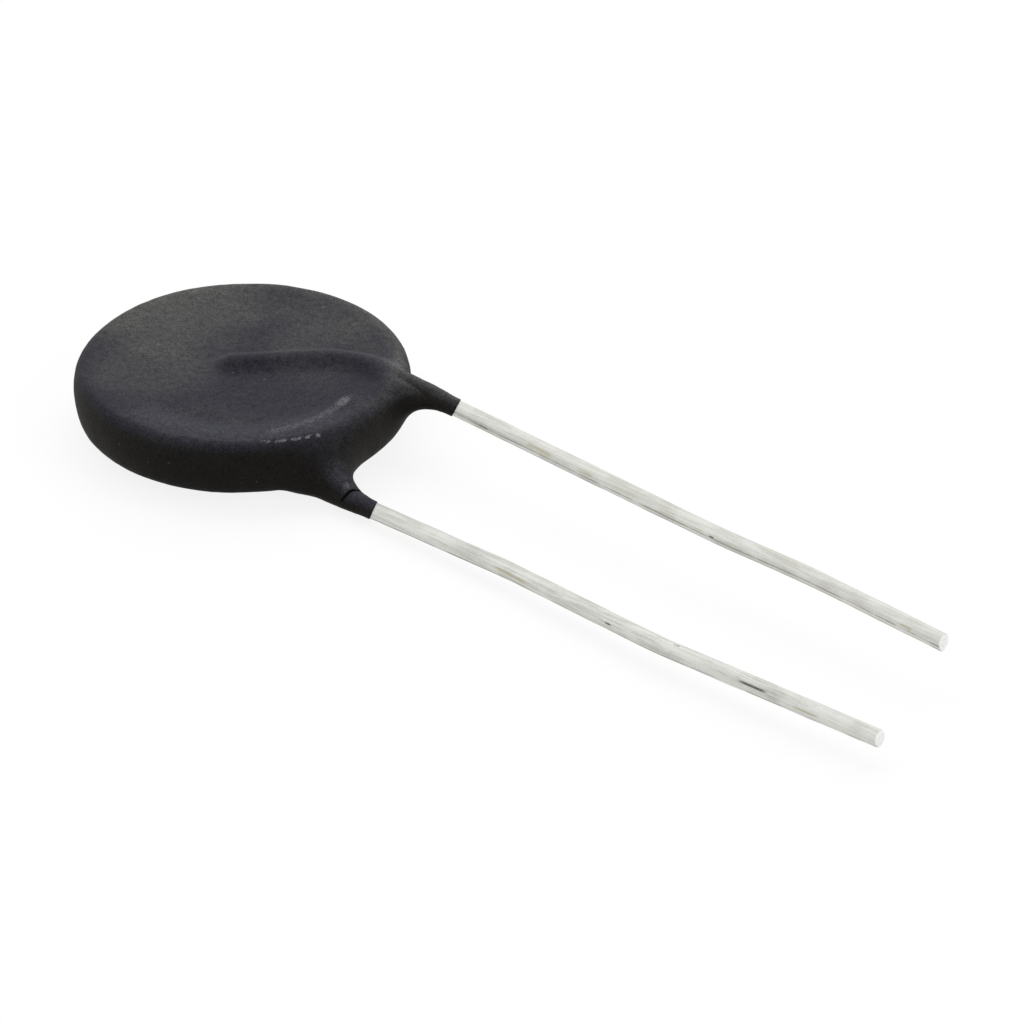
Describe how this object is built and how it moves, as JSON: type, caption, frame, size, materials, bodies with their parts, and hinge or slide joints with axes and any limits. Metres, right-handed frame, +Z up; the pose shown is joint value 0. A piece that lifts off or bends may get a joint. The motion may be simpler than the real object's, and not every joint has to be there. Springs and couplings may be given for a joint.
{
  "type": "disc ntc thermistor with two wire leads",
  "caption": "Coated ceramic disc thermistor lying flat, with bare tinned wire leads out of one side, for limiting inrush current.",
  "frame": {"origin": "on the surface that the part rests on, under the middle of its length and width", "axes": "+X along the leads towards their cut ends, +Z up along the disc's axis, with the front lead on the disc's upper face at +Y"},
  "size_m": [0.0594, 0.0196, 0.0044],
  "materials": {
    "black_coating": "matte dipped coating with fine grain",
    "tinned_wire": "dull tinned copper with drawn streaks",
    "ceramic": "sintered metal oxide, hidden",
    "silver": "fired silver layer, hidden",
    "solder": "solder, hidden"
  },
  "bodies": {
    "root": {"ceramic_disc": "ceramic", "front_electrode": "silver", "back_electrode": "silver", "front_solder": "solder", "back_solder": "solder", "front_lead": "tinned_wire", "back_lead": "tinned_wire", "coating": "black_coating"}
  },
  "joints": []
}
